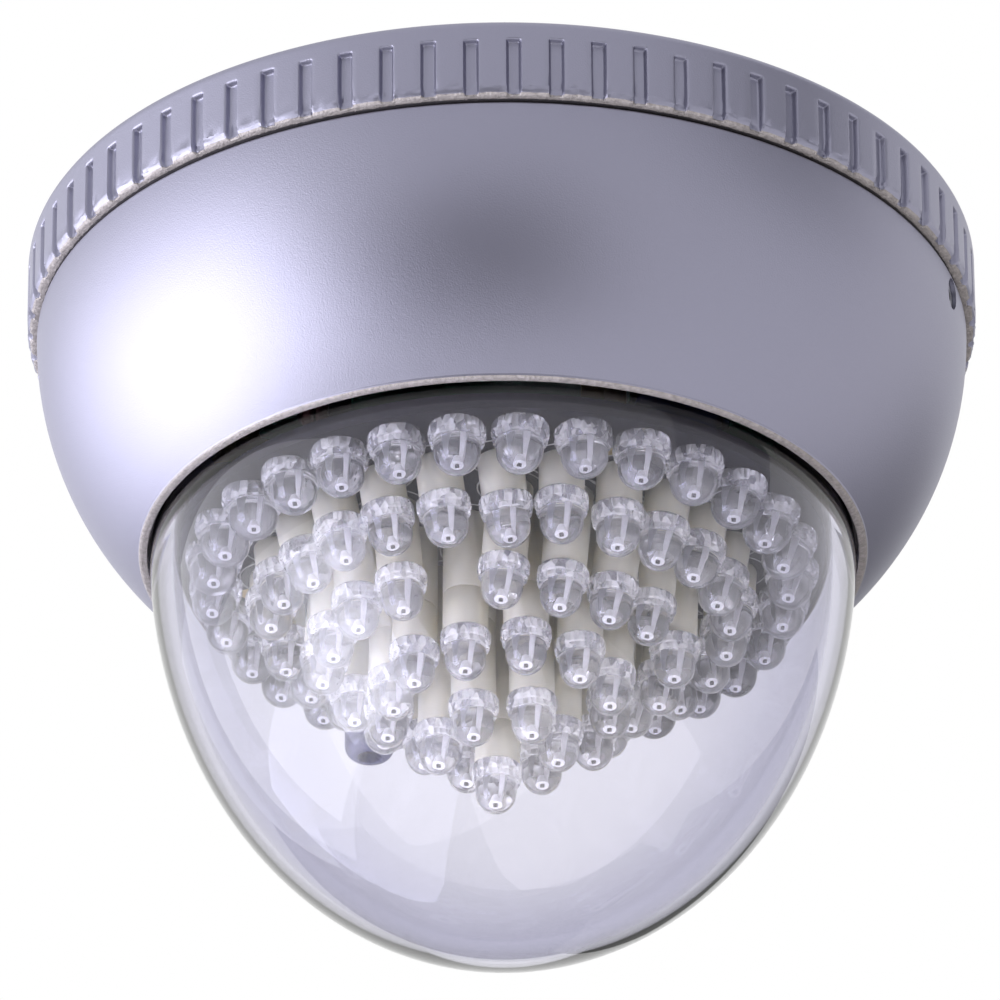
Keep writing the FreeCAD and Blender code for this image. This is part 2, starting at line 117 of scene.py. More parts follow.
# Several shapes as one, with the faces of each counted on from the vertices before it.
def joinedShape(shapes):
    verts, faces, start = [], [], 0
    for shapeVerts, shapeFaces in shapes:
        verts.append(shapeVerts)
        faces += [f + start for f in shapeFaces]
        start += len(shapeVerts)
    return np.vstack(verts), faces


# Object from arrays in millimetres.
def makeLoose(name, shape):
    verts, faces = shape
    mesh = bpy.data.meshes.new(name)
    loops = np.concatenate([f.reshape(-1) for f in faces])
    sizes = np.concatenate([np.full(len(f), f.shape[1]) for f in faces])
    starts = np.concatenate([[0], np.cumsum(sizes)[:-1]])
    mesh.vertices.add(len(verts))
    mesh.vertices.foreach_set("co", (verts * mm).astype(np.float32).reshape(-1))
    mesh.loops.add(len(loops))
    mesh.loops.foreach_set("vertex_index", loops.astype(np.int32))
    mesh.polygons.add(len(sizes))
    mesh.polygons.foreach_set("loop_start", starts.astype(np.int32))
    mesh.polygons.foreach_set("loop_total", sizes.astype(np.int32))
    mesh.polygons.foreach_set("use_smooth", np.ones(len(sizes), bool))
    mesh.update(calc_edges=True)
    mesh.validate()
    loose = bpy.data.objects.new(name, mesh)
    bpy.context.scene.collection.objects.link(loose)
    return loose


# The same as a piece of the object, with its sharp edges kept.
def makePiece(name, shape, material, sharpAngle=35.0):
    piece = makeLoose(name, shape)
    piece.data.set_sharp_from_angle(angle=math.radians(sharpAngle))
    piece.data.materials.append(material)
    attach(piece, "root")
    return piece


# Material helpers

def newMaterial(name):
    material = bpy.data.materials.new(name)
    material.use_nodes = True
    tree = material.node_tree
    tree.nodes.clear()
    shader = tree.nodes.new("ShaderNodeBsdfPrincipled")
    output = tree.nodes.new("ShaderNodeOutputMaterial")
    tree.links.new(shader.outputs["BSDF"], output.inputs["Surface"])
    return material, tree, shader


def setInputs(node, values):
    for socket, value in values.items():
        node.inputs[socket].default_value = value


def addNode(tree, kind, values=None, **settings):
    node = tree.nodes.new(kind)
    for key, value in settings.items():
        setattr(node, key, value)
    setInputs(node, values or {})
    return node


# Links given one after another as (from node, its output, to node, its input).
def linkNodes(tree, *links):
    for source, output, target, socket in links:
        tree.links.new(source.outputs[output], target.inputs[socket])


def outputNode(tree):
    return next(node for node in tree.nodes if node.type == "OUTPUT_MATERIAL")


mottleSockets = (("INPUT", "NodeSocketColor", ("Dark", "Light")),
                 ("INPUT", "NodeSocketFloat", ("Broad Scale", "Fine Scale", "Rough Low",
                                               "Rough High", "Bump", "Depth")),
                 ("OUTPUT", "NodeSocketColor", ("Color",)),
                 ("OUTPUT", "NodeSocketFloat", ("Roughness",)),
                 ("OUTPUT", "NodeSocketVector", ("Normal",)))


# Group "mottle": two noises in object space. Value = low + (high - low) * noise, a colour that
# mixes dark to light by the broad noise, and a normal bumped by the fine one.
def buildMottle():
    group = bpy.data.node_groups.new("mottle", "ShaderNodeTree")
    for side, kind, names in mottleSockets:
        for name in names:
            group.interface.new_socket(name=name, in_out=side, socket_type=kind)
    inside = group.nodes.new("NodeGroupInput")
    outside = group.nodes.new("NodeGroupOutput")
    coords = group.nodes.new("ShaderNodeTexCoord")
    broad = addNode(group, "ShaderNodeTexNoise", {"Detail": 3.0})
    fine = addNode(group, "ShaderNodeTexNoise", {"Detail": 2.0})
    mix = addNode(group, "ShaderNodeMix", data_type="RGBA")
    rough = addNode(group, "ShaderNodeMapRange")
    bump = addNode(group, "ShaderNodeBump")
    linkNodes(group,
              (coords, "Object", broad, "Vector"), (inside, "Broad Scale", broad, "Scale"),
              (coords, "Object", fine, "Vector"), (inside, "Fine Scale", fine, "Scale"),
              (broad, "Fac", mix, "Factor"), (inside, "Dark", mix, "A"),
              (inside, "Light", mix, "B"), (fine, "Fac", rough, "Value"),
              (inside, "Rough Low", rough, "To Min"), (inside, "Rough High", rough, "To Max"),
              (fine, "Fac", bump, "Height"), (inside, "Bump", bump, "Strength"),
              (inside, "Depth", bump, "Distance"), (mix, "Result", outside, "Color"),
              (rough, "Result", outside, "Roughness"), (bump, "Normal", outside, "Normal"))
    return group


mottle = buildMottle()


# Material from one look: its colours and grain through the mottle group, and the sockets set
# on the shader.
def mottledMaterial(name, look):
    dark, light, broad, fine, rough, bump, depth, *sockets = look
    material, tree, shader = newMaterial(name)
    grain = tree.nodes.new("ShaderNodeGroup")
    grain.node_tree = mottle
    setInputs(grain, {"Dark": (*dark, 1), "Light": (*light, 1), "Broad Scale": broad,
                      "Fine Scale": fine, "Rough Low": rough[0], "Rough High": rough[1],
                      "Bump": bump, "Depth": depth * mm})
    linkNodes(tree, (grain, "Color", shader, "Base Color"),
              (grain, "Roughness", shader, "Roughness"), (grain, "Normal", shader, "Normal"))
    for values in sockets:
        setInputs(shader, values)
    return material


# Each look: its dark and light colour, the scales of the broad and the fine noise, roughness
# from and to, strength and depth of the bump, and sockets of the shader that are set besides.
looks = {
    "silverPaint": ((0.285, 0.282, 0.368), (0.305, 0.302, 0.390), 40, 6200, (0.38, 0.46), 0.5,
                    0.05, {"Metallic": 0.95}),
    "edgePaint": ((0.10, 0.09, 0.092), (0.34, 0.315, 0.32), 1800, 3200, (0.42, 0.6), 0.8, 0.16,
                  {"Metallic": 0.5}),
    # Painted shadow: near-black paint for the underside of the rim's foot, where the gap to the
    # cover lies in shade.
    "gapShadowPaint": ((0.020, 0.018, 0.022), (0.040, 0.036, 0.042), 900, 3200, (0.6, 0.75), 0.4,
                    0.08),
    "blackRubber": ((0.012, 0.010, 0.010), (0.022, 0.019, 0.018), 200, 2500, (0.6, 0.75), 0.3,
                    0.03),
    "greyFoam": ((0.008, 0.007, 0.008), (0.014, 0.012, 0.014), 300, 4000, (0.85, 0.95), 0.1,
                 0.02, {"Specular IOR Level": 0.25}),
    "boardMask": ((0.012, 0.011, 0.017), (0.018, 0.016, 0.025), 90, 1500, (0.45, 0.6), 0.05,
                  0.01, {"Specular IOR Level": 0.3}),
    "greenMask": ((0.010, 0.085, 0.040), (0.018, 0.120, 0.060), 120, 1500, (0.25, 0.35), 0.1,
                  0.02),
    "boardPrint": ((0.26, 0.26, 0.26), (0.36, 0.36, 0.35), 800, 5000, (0.5, 0.6), 0.1, 0.01),
    "tinnedLead": ((0.62, 0.61, 0.58), (0.80, 0.79, 0.76), 700, 5000, (0.18, 0.35), 0.15, 0.01,
                   {"Metallic": 1.0}),
    # Painted reflection: the reflector cups and lead posts take light, non-metal colours over the
    # metal's own light tone, standing in for the reflections of the plated metal.
    "cupPaintedSheen": ((0.78, 0.78, 0.80), (0.90, 0.90, 0.91), 900, 6000, (0.35, 0.5), 0.05, 0.01),
    "leadPaintedSheen": ((0.66, 0.65, 0.67), (0.92, 0.91, 0.93), 1500, 6000, (0.3, 0.45), 0.1, 0.01),
    "greyLead": ((0.30, 0.30, 0.33), (0.66, 0.66, 0.70), 3000, 6000, (0.3, 0.5), 0.4, 0.05,
                 {"Metallic": 0.5}),
    "darkDie": ((0.015, 0.012, 0.012), (0.03, 0.025, 0.025), 900, 6000, (0.5, 0.6), 0.05, 0.01,
                {"Specular IOR Level": 0.2}),
    "whiteNylon": ((0.80, 0.75, 0.57), (0.86, 0.81, 0.64), 250, 2500, (0.42, 0.52), 0.12, 0.03,
                   {"Transmission Weight": 0.35, "Subsurface Weight": 0.8,
                    "Subsurface Scale": 2.5 * mm, "Subsurface Radius": (1.0, 0.95, 0.8)}),
    "darkHood": ((0.018, 0.018, 0.080), (0.028, 0.028, 0.115), 250, 2500, (0.35, 0.45), 0.15,
                 0.03),
    "sensorResin": ((0.05, 0.02, 0.015), (0.12, 0.04, 0.02), 1500, 4000, (0.2, 0.3), 0.1, 0.02),
    "screwSteel": ((0.42, 0.42, 0.43), (0.58, 0.58, 0.59), 500, 4000, (0.25, 0.4), 0.2, 0.02,
                   {"Metallic": 1.0}),
    "pillarBrass": ((0.55, 0.42, 0.20), (0.68, 0.53, 0.28), 300, 3000, (0.25, 0.38), 0.15, 0.02,
                    {"Metallic": 1.0}),
    "blackMoulding": ((0.020, 0.020, 0.022), (0.032, 0.032, 0.035), 300, 2500, (0.4, 0.55), 0.2,
                      0.03),
    "capacitorSleeve": ((0.010, 0.015, 0.060), (0.018, 0.026, 0.085), 200, 2500, (0.2, 0.3),
                        0.05, 0.02),
    "terminalPlastic": ((0.02, 0.14, 0.06), (0.03, 0.19, 0.08), 250, 2500, (0.4, 0.5), 0.12,
                        0.03),
    "greyFerrite": ((0.035, 0.033, 0.033), (0.060, 0.058, 0.057), 500, 4000, (0.55, 0.7), 0.4,
                    0.04),
    "wireSleeve": ((0.035, 0.012, 0.012), (0.060, 0.018, 0.018), 200, 2500, (0.3, 0.4), 0.05,
                   0.02),
}
finish = {name: mottledMaterial(name, look) for name, look in looks.items()}


# Clear plastics: a haze of fine scratches in the roughness, and where a look names them a painted
# shade at the edge, folds with painted glints, streaks, and light taken up by the thickness.
clearLooks = {
    "clearDome": {"tint": (0.905, 0.90, 0.95), "rough": (0.0, 0.012), "scale": 60,
                  "ior": 1.42, "clear": 1.0,
                  # Painted shade: the edge tint darkens and blues the dome where it turns away
                  # from the eye.
                  "edge": {"tint": (0.665, 0.66, 0.775), "range": (0.22, 0.55)},
                  "absorb": {"tint": (0.64, 0.63, 0.78), "density": 60.0}},
    "clearEpoxy": {"tint": (0.97, 0.97, 0.99), "rough": (0.0, 0.008), "scale": 500,
                   "ior": 1.5, "clear": 0.955,
                   "streaks": {"scale": 900.0, "strength": 0.6, "depth": 0.09,
                               "turn": (0, 35, 0), "stretch": (1.0, 1.0, 0.25)}},
    "hazyEpoxy": {"tint": (0.98, 0.98, 0.99), "rough": (0.0, 0.02), "scale": 900,
                  "ior": 1.5, "clear": 0.70,
                  # Painted glints: the folds' dark and light cells stand in for the glints and
                  # shade of the lens foot's facets.
                  "glintFolds": {"dark": (0.38, 0.38, 0.42), "light": (1.0, 1.0, 1.0),
                            "range": (0.26, 0.54), "scale": 1450.0, "depth": 0.5,
                            "turn": (0, 40, 17.188734), "stretch": (1.0, 1.0, 0.5)}},
}
scratchRange = (0.35, 0.75)


# Object coordinates turned and stretched, for marks that run aslant.
def slantedCoords(tree, coords, marks):
    turn = [math.radians(angle) for angle in marks["turn"]]
    slant = addNode(tree, "ShaderNodeMapping", {"Rotation": turn, "Scale": marks["stretch"]})
    linkNodes(tree, (coords, "Object", slant, "Vector"))
    return slant


# Map that is 0 at the low end of a range and 1 at the high end.
def rangeNode(tree, ends, values=None):
    return addNode(tree, "ShaderNodeMapRange",
                   {"From Min": ends[0], "From Max": ends[1], **(values or {})})


# Painted shade: another, darker and bluer tint where the surface turns away from the eye, for the
# darker edges of the clear dome.
def paintEdgeShade(tree, shader, look):
    edge = look["edge"]
    facing = addNode(tree, "ShaderNodeLayerWeight", {"Blend": 0.5})
    fade = rangeNode(tree, edge["range"])
    mix = addNode(tree, "ShaderNodeMix", {"A": (*look["tint"], 1), "B": (*edge["tint"], 1)},
                  data_type="RGBA")
    linkNodes(tree, (facing, "Facing", fade, "Value"), (fade, "Result", mix, "Factor"),
              (mix, "Result", shader, "Base Color"))


# Folds with painted glints: cells of noise from dark to light paint the glints and shade of the
# facets into the base colour, with a crease bumped between them.
def addGlintFolds(tree, shader, coords, glintFolds):
    slant = slantedCoords(tree, coords, glintFolds)
    cells = addNode(tree, "ShaderNodeTexVoronoi", {"Scale": glintFolds["scale"]})
    share = rangeNode(tree, glintFolds["range"])
    mix = addNode(tree, "ShaderNodeMix", {"A": (*glintFolds["dark"], 1), "B": (*glintFolds["light"], 1)},
                  data_type="RGBA")
    crease = addNode(tree, "ShaderNodeBump", {"Strength": 1.0, "Distance": glintFolds["depth"] * mm})
    linkNodes(tree, (slant, "Vector", cells, "Vector"), (cells, "Color", share, "Value"),
              (share, "Result", mix, "Factor"), (mix, "Result", shader, "Base Color"),
              (cells, "Distance", crease, "Height"), (crease, "Normal", shader, "Normal"))


# Streaks: a stretched noise that bumps the normal.
def addStreaks(tree, shader, coords, streaks):
    slant = slantedCoords(tree, coords, streaks)
    ripple = addNode(tree, "ShaderNodeTexNoise", {"Scale": streaks["scale"], "Detail": 2.0})
    bump = addNode(tree, "ShaderNodeBump", {"Strength": streaks["strength"],
                                            "Distance": streaks["depth"] * mm})
    linkNodes(tree, (slant, "Vector", ripple, "Vector"), (ripple, "Fac", bump, "Height"),
              (bump, "Normal", shader, "Normal"))


def clearMaterial(name, look):
    material, tree, shader = newMaterial(name)
    coords = tree.nodes.new("ShaderNodeTexCoord")
    noise = addNode(tree, "ShaderNodeTexNoise", {"Scale": look["scale"], "Detail": 4.0})
    rough = rangeNode(tree, scratchRange, {"To Min": look["rough"][0],
                                           "To Max": look["rough"][1]})
    linkNodes(tree, (coords, "Object", noise, "Vector"), (noise, "Fac", rough, "Value"),
              (rough, "Result", shader, "Roughness"))
    setInputs(shader, {"Base Color": (*look["tint"], 1), "Transmission Weight": look["clear"],
                       "IOR": look["ior"]})
    if "edge" in look:
        paintEdgeShade(tree, shader, look)
    if "glintFolds" in look:
        addGlintFolds(tree, shader, coords, look["glintFolds"])
    if "streaks" in look:
        addStreaks(tree, shader, coords, look["streaks"])
    if "absorb" in look:
        body = addNode(tree, "ShaderNodeVolumeAbsorption", {
            "Color": (*look["absorb"]["tint"], 1), "Density": look["absorb"]["density"]})
        linkNodes(tree, (body, "Volume", outputNode(tree), "Volume"))
    return material


for clearName, clearLook in clearLooks.items():
    finish[clearName] = clearMaterial(clearName, clearLook)
print("materials:", len(finish))


# Camera, lamps and stage

view = {"target": (-0.28, 0.0, -27.89), "elevation": -29.43, "distance": 1056.5,
        "pixelFocal": 10128.0, "frameWidth": 1000.0, "roll": -0.35, "sensorWidth": 36.0,
        "clip": (0.05, 50.0)}


# Camera at target - distance * forward, forward = (0, cos e, sin e), e below the horizon.
def makeCamera(settings):
    tilt = math.radians(-settings["elevation"])
    forward = Vector((0, math.cos(tilt), math.sin(tilt)))
    camera = bpy.data.objects.new("camera", bpy.data.cameras.new("camera"))
    camera.data.lens = settings["pixelFocal"] / settings["frameWidth"] * settings["sensorWidth"]
    camera.data.sensor_width = settings["sensorWidth"]
    camera.data.clip_start, camera.data.clip_end = settings["clip"]
    place = (Vector(settings["target"]) - forward * settings["distance"]) * mm
    turn = forward.to_track_quat("-Z", "Y").to_matrix().to_4x4()
    roll = Matrix.Rotation(math.radians(settings["roll"]), 4, "Z")
    camera.matrix_world = Matrix.Translation(place) @ turn @ roll
    bpy.context.scene.collection.objects.link(camera)
    bpy.context.scene.camera = camera


# Distances and sizes in metres. A lamp or card faces a point at the aim's height on the axis.
studio = {
    "worldLevel": 0.5,
    "aimHeight": -0.03,
    "lamps": {
        "leftBox": {"place": (-83, -18, 1.0), "size": (1.1, 0.9), "radiance": 2.05,
                    "color": (1.0, 1.0, 1.03), "seenIn": "gloss"},
        "leftSpill": {"place": (-90, -10, 1.0), "size": (1.6, 1.35), "radiance": 1.4,
                      "color": (1.0, 1.0, 1.03), "seenIn": "gloss"},
        "leftFill": {"place": (-84, -42, 1.0), "size": (2.2, 1.15), "radiance": 2.8,
                     "color": (0.94, 0.95, 1.10), "seenIn": "clear"},
        "sideFill": {"place": (-61, -16, 1.0), "size": (0.62, 0.8), "radiance": 5.4,
                     "color": (0.94, 0.95, 1.10), "seenIn": "clear"},
        "frontFill": {"place": (-38, -40, 1.0), "size": (1.8, 1.8), "radiance": 2.0,
                      "color": (1.0, 0.97, 0.93), "seenIn": "clear"},
        "underFill": {"place": (70, -62, 1.0), "size": (1.4, 1.4), "radiance": 2.1,
                      "color": (1.0, 0.965, 0.92), "seenIn": "clear"},
    },
    "cards": {
        "camera_card": {"place": (-8, -22, 1.5), "size": (1.4, 1.1),
                        "color": (0.04, 0.04, 0.04)},
        "low_card": {"place": (184, -36, 1.5), "size": (2.8, 1.5), "color": (0.06, 0.06, 0.06)},
        "rear_card": {"place": (145, -10, 1.45), "size": (1.5, 1.2),
                      "color": (0.28, 0.28, 0.28)},
        "right_card": {"place": (112, -3, 1.5), "size": (1.0, 1.9), "color": (1.08, 1.07, 1.05)},
        "upper_right_card": {"place": (74, 31, 1.4), "size": (0.9, 0.8),
                             "color": (0.35, 0.35, 0.36)},
        "upper_card": {"place": (10, 33, 1.5), "size": (3.0, 0.7), "color": (0.82, 0.82, 0.84)},
        "rear_left_card": {"place": (-128, -6, 1.3), "size": (0.5, 1.0),
                           "color": (1.5, 1.5, 1.65)},
    },
    "floorDrop": 2.6,
    "floorHalf": 6.0,
}


# Matrix that stands a flat thing at its azimuth, elevation and distance from the dome and turns
# it to face the dome.
def facingDome(place):
    azimuth, elevation, distance = place
    rise = math.radians(elevation)
    away = Vector(placeAt(math.cos(rise), azimuth, math.sin(rise))) * distance
    return (Matrix.Translation(away + Vector((0, 0, studio["aimHeight"])))
            @ (-away).to_track_quat("-Z", "Y").to_matrix().to_4x4())


# A lamp of even radiance L gives pi * area * L watts. It is seen in gloss or through clear
# plastic, never both, so that the dome isn't washed out.
def makeLamp(name, settings):
    lamp = bpy.data.objects.new(name, bpy.data.lights.new(name, "AREA"))
    lamp.data.shape = "RECTANGLE"
    lamp.data.size, lamp.data.size_y = settings["size"]
    lamp.data.color = settings["color"]
    lamp.data.energy = math.pi * settings["size"][0] * settings["size"][1] * settings["radiance"]
    lamp.matrix_world = facingDome(settings["place"])
    lamp.visible_camera = False
    lamp.visible_glossy = settings["seenIn"] == "gloss"
    lamp.visible_transmission = settings["seenIn"] == "clear"
    bpy.context.scene.collection.objects.link(lamp)


# One value that is 1 on camera, glossy and transmission rays and 0 on the rest.
def seenRays(tree):
    path = tree.nodes.new("ShaderNodeLightPath")
    first = addNode(tree, "ShaderNodeMath", operation="MAXIMUM")
    both = addNode(tree, "ShaderNodeMath", operation="MAXIMUM")
    linkNodes(tree, (path, "Is Camera Ray", first, 0), (path, "Is Glossy Ray", first, 1),
              (first, "Value", both, 0), (path, "Is Transmission Ray", both, 1))
    return both.outputs["Value"]


def makeWorld(level):
    world = bpy.data.worlds.new("studio")
    world.use_nodes = True
    bpy.context.scene.world = world
    tree = world.node_tree
    tree.nodes.clear()
    output = tree.nodes.new("ShaderNodeOutputWorld")
    background = addNode(tree, "ShaderNodeBackground", {"Color": (1, 1, 1, 1)})
    strength = addNode(tree, "ShaderNodeMapRange", {"To Min": level, "To Max": 1.0})
    tree.links.new(seenRays(tree), strength.inputs["Value"])
    linkNodes(tree, (strength, "Result", background, "Strength"),
              (background, "Background", output, "Surface"))


# Corners of a flat rectangle round the axis, from its half width and half height.
def rectangle(width, height, z=0.0):
    return [(-width, -height, z), (width, -height, z), (width, height, z), (-width, height, z)]


# Four corners as one flat thing of the stage.
def flatObject(name, corners, material):
    mesh = bpy.data.meshes.new(name)
    mesh.from_pydata(corners, [], [(0, 1, 2, 3)])
    mesh.materials.append(material)
    flat = bpy.data.objects.new(name, mesh)
    bpy.context.scene.collection.objects.link(flat)
    return flat


# Pale floor far below the hanging object, white to the camera and in reflections.
def makeFloor(settings):
    material, tree, shader = newMaterial("paleFloor")
    setInputs(shader, {"Base Color": (0.8, 0.8, 0.8, 1), "Roughness": 0.8})
    glow = addNode(tree, "ShaderNodeEmission", {"Color": (1, 1, 1, 1), "Strength": 1.0})
    mix = tree.nodes.new("ShaderNodeMixShader")
    tree.links.new(seenRays(tree), mix.inputs["Fac"])
    linkNodes(tree, (shader, "BSDF", mix, 1), (glow, "Emission", mix, 2),
              (mix, "Shader", outputNode(tree), "Surface"))
    half, drop = settings["floorHalf"], -settings["floorDrop"]
    flatObject("floor", rectangle(half, half, drop), material)


# Grey card outside the picture, which only shows in the paint's gloss and the glass's edges.
def makeCard(name, settings):
    material, tree, shader = newMaterial(name)
    setInputs(shader, {"Base Color": (0, 0, 0, 1), "Roughness": 1.0, "Specular IOR Level": 0.0,
                       "Emission Color": (*settings["color"], 1), "Emission Strength": 1.0})
    width, height = settings["size"]
    place = facingDome(settings["place"])
    corners = [place @ Vector(corner) for corner in rectangle(width / 2, height / 2)]
    card = flatObject(name, corners, material)
    card.visible_camera = False
    card.visible_diffuse = False
    card.visible_transmission = False
    card.visible_shadow = False


bpy.context.scene.view_settings.view_transform = "Standard"
makeCamera(view)
for lampName, lampPlan in studio["lamps"].items():
    makeLamp(lampName, lampPlan)
makeWorld(studio["worldLevel"])
makeFloor(studio)
for cardName, cardPlan in studio["cards"].items():
    makeCard(cardName, cardPlan)
print("camera, lamps and stage ready")


# Base: plate with ribbed rim, skirt and bosses

rim = {"radius": 49.9, "height": 8.8, "edge": 1.0, "ribs": 72, "azimuth": 1.6,
       "grooveWidth": 1.3, "grooveDepth": 0.65, "grooveTop": 2.4, "soft": 0.09,
       "footRound": (1.125, 0.945, 58), "footBand": 1.05, "crust": 0.07,
       "widthSpread": 0.05, "depthSpread": 0.08, "topSpread": 0.096, "seed": 11,
       "bandRows": (0.45, 0.3, -0.45, -0.8), "edgeGap": 0.3,
       "rows": {"top": 8, "band": 11, "side": 6, "turn": 7},
       "grooveColumns": (-0.065, -0.035, -0.015, 0.0, 0.015, 0.035, 0.065),
       "ribColumns": (-0.49, -0.36, -0.02, 0.30, 0.40),
       "plateRadius": 44.2, "plate": 3.0, "plateSegments": 192, "holeSegments": 48,
       "skirt": (46.46, 44.31, 14.6), "seal": (45.6, 47.6, 1.2), "overlap": (0.05, 0.02),
       "bosses": {"circle": 27.0, "azimuths": (22, 142, 262), "radii": (1.6, 4.0), "foot": -5.0},
       "holes": ((0, 0, 7.0), (38, 82, 2.25), (38, 202, 2.25), (38, 322, 2.25),
                 (27, 22, 3.1), (27, 142, 3.1), (27, 262, 3.1)),
       "bareEdge": 1.4, "secondFinishBand": (-0.1, 0.2)}
slack = 0.01  # keeps rows of the mesh apart, and on their side of a limit


# Half profile (r, z) of the casting from the plate's edge over the rim to the skirt and back.
# Rows of the side lie close together round the grooves' top.
def rimProfile(size):
    radius, edge, foot = size["radius"], size["edge"], -size["height"]
    inner, outer, sealDepth = size["seal"]
    skirtOuter, skirtInner, skirtFoot = size["skirt"]
    above, start, end, below = size["bandRows"]
    footRadius, footMiddle, footArc = size["footRound"]
    band, rows = -size["grooveTop"], size["rows"]
    top = arcPoints(radius - edge, -edge, edge, 90, 0, rows["top"])
    side = np.concatenate([[-edge - size["edgeGap"], band + above],
                           band + np.linspace(start, end, rows["band"]),
                           np.linspace(band + below, foot + size["footBand"], rows["side"])])
    turn = arcPoints(radius - footRadius, foot + footMiddle, footRadius, 0, -footArc,
                     rows["turn"])
    turn[:, 1] = np.maximum(turn[:, 1], foot + 2 * slack)
    return np.vstack([
        [(size["plateRadius"], 0), (inner, 0), (inner, -sealDepth), (outer, -sealDepth),
         (outer, 0)], top, np.column_stack([np.full(len(side), radius), side]), turn,
        [(radius - footRadius, foot), (skirtOuter, foot), (skirtOuter, -skirtFoot),
         (skirtInner, -skirtFoot), (skirtInner, -size["plate"]),
         (size["plateRadius"], -size["plate"])]])


# 1 up to a limit and 0 past it, with a smooth step between them.
def softStep(value, limit, softness):
    return 0.5 - 0.5 * np.tanh((value - limit) / softness)


# Rim surface: r(a, z) = R(z) - depth * g(a) * h(z), where g is 1 in a groove and 0 on a rib,
# h is 1 below the plain band, and both change over the softness of the paint. The foot's
# rows get a small seeded roughness.
def ribbedRim(size):
    rng = np.random.default_rng(size["seed"])
    radius, foot = size["radius"], -size["height"]
    profile = rimProfile(size)
    pitch = 360.0 / size["ribs"]
    half = size["grooveWidth"] / 2 / (np.pi / 180 * radius * pitch)
    columns = np.array(size["grooveColumns"])
    across = np.sort(np.concatenate([size["ribColumns"], -half + columns, half + columns]))
    offset = (np.arange(size["ribs"])[:, None] + across[None]).reshape(-1)
    rib = np.repeat(np.arange(size["ribs"]), len(across))
    inRib = np.abs(np.tile(across, size["ribs"])) * pitch * np.pi / 180 * radius
    spreads = 1 + size["widthSpread"] * rng.standard_normal(size["ribs"])
    inGroove = softStep(inRib, size["grooveWidth"] / 2 * spreads[rib], size["soft"])
    tops = -size["grooveTop"] + size["topSpread"] * rng.standard_normal(size["ribs"])
    z = profile[:, 1]
    onSide = ((profile[:, 0] > radius - size["footRound"][0] - slack)
              & (z < -size["edge"] - slack) & (z > foot - slack))
    belowBand = np.where(onSide[:, None],
                         softStep(z[:, None], tops[rib][None], size["soft"]), 0.0)
    depths = size["grooveDepth"] * (1 + size["depthSpread"] * rng.standard_normal(size["ribs"]))
    sunk = np.minimum(profile[:, :1], radius - depths[rib][None])
    r = profile[:, :1] + (sunk - profile[:, :1]) * belowBand * inGroove[None]
    crusted = (profile[:, 0] > size["skirt"][0] + slack) & (z < foot + size["footBand"] + slack)
    r = r - np.where(crusted[:, None], size["crust"], 0.0) * np.abs(rng.standard_normal(r.shape))
    t = np.radians(offset * pitch + size["azimuth"])[None]
    grid = np.stack([r * np.sin(t), -r * np.cos(t), np.repeat(z[:, None], r.shape[1], 1)], -1)
    return gridShape(grid[::-1], closed=True)


# Ring between two radii and two heights, moved to a place.
def ringShape(inner, outer, low, high, place, segments=32):
    profile = [(inner, low), (outer, low), (outer, high), (inner, high)]
    verts, faces = turnedShape(profile, segments, closed=True)
    return verts + place, faces


# Flat plate: the area between its own outline and its holes, each (circle, azimuth, radius).
def plateMesh(size):
    outline = bpy.data.curves.new("plate_outline", "CURVE")
    outline.dimensions = "2D"
    outline.fill_mode = "BOTH"
    outline.extrude = size["plate"] / 2 * mm
    circles = [(0, 0, size["plateRadius"] + size["overlap"][0], size["plateSegments"])]
    circles += [(*hole, size["holeSegments"]) for hole in size["holes"]]
    for circle, azimuth, radius, count in circles:
        t = np.arange(count) * 2 * np.pi / count
        middle = placeAt(circle, azimuth)
        spline = outline.splines.new("POLY")
        spline.points.add(count - 1)
        points = np.column_stack([middle[0] + radius * np.cos(t), middle[1] + radius * np.sin(t),
                                  np.zeros(count), np.ones(count) / mm]) * mm
        spline.points.foreach_set("co", points.reshape(-1))
        spline.use_cyclic_u = True
    holder = bpy.data.objects.new("plate_outline", outline)
    mesh = bpy.data.meshes.new_from_object(holder)
    bpy.data.objects.remove(holder)
    bpy.data.curves.remove(outline)
    mesh.transform(Matrix.Translation((0, 0, -size["plate"] / 2 * mm)))
    return mesh


# Another finish on the faces whose middle is inside a band of heights and beyond a radius.
def finishBand(piece, material, low, high, beyond):
    mesh = piece.data
    mesh.materials.append(material)
    middles = np.empty(len(mesh.polygons) * 3)
    mesh.polygons.foreach_get("center", middles)
    middles = middles.reshape(-1, 3) / mm
    inside = ((middles[:, 2] > low) & (middles[:, 2] < high)
              & (np.hypot(middles[:, 0], middles[:, 1]) > beyond))
    finishes = np.empty(len(mesh.polygons), np.int32)
    mesh.polygons.foreach_get("material_index", finishes)
    finishes[inside] = len(mesh.materials) - 1
    mesh.polygons.foreach_set("material_index", finishes)


def makeBase(size):
    boss, foot = size["bosses"], -size["height"]
    low, high = size["secondFinishBand"]
    shapes = [ribbedRim(size)]
    for azimuth in boss["azimuths"]:
        shapes.append(ringShape(*boss["radii"], boss["foot"], -size["plate"] + size["overlap"][1],
                                placeAt(boss["circle"], azimuth)))
    casting = makePiece("base_casting", joinedShape(shapes), finish["silverPaint"],
                        sharpAngle=38)
    # Painted shadow on the rim's underside from the skirt outwards, where the gap to the cover is
    # in shade; the outer edge then gets the edge paint.
    finishBand(casting, finish["gapShadowPaint"], foot + low, foot + high, size["skirt"][0])
    finishBand(casting, finish["edgePaint"], foot + low, foot + high,
               size["radius"] - size["bareEdge"])
    plate = bpy.data.objects.new("base_plate", plateMesh(size))
    plate.data.materials.append(finish["silverPaint"])
    bpy.context.scene.collection.objects.link(plate)
    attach(plate, "root")
    for piece in (casting, plate):
        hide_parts("base")


makeBase(rim)
print("base ready")


# Cover

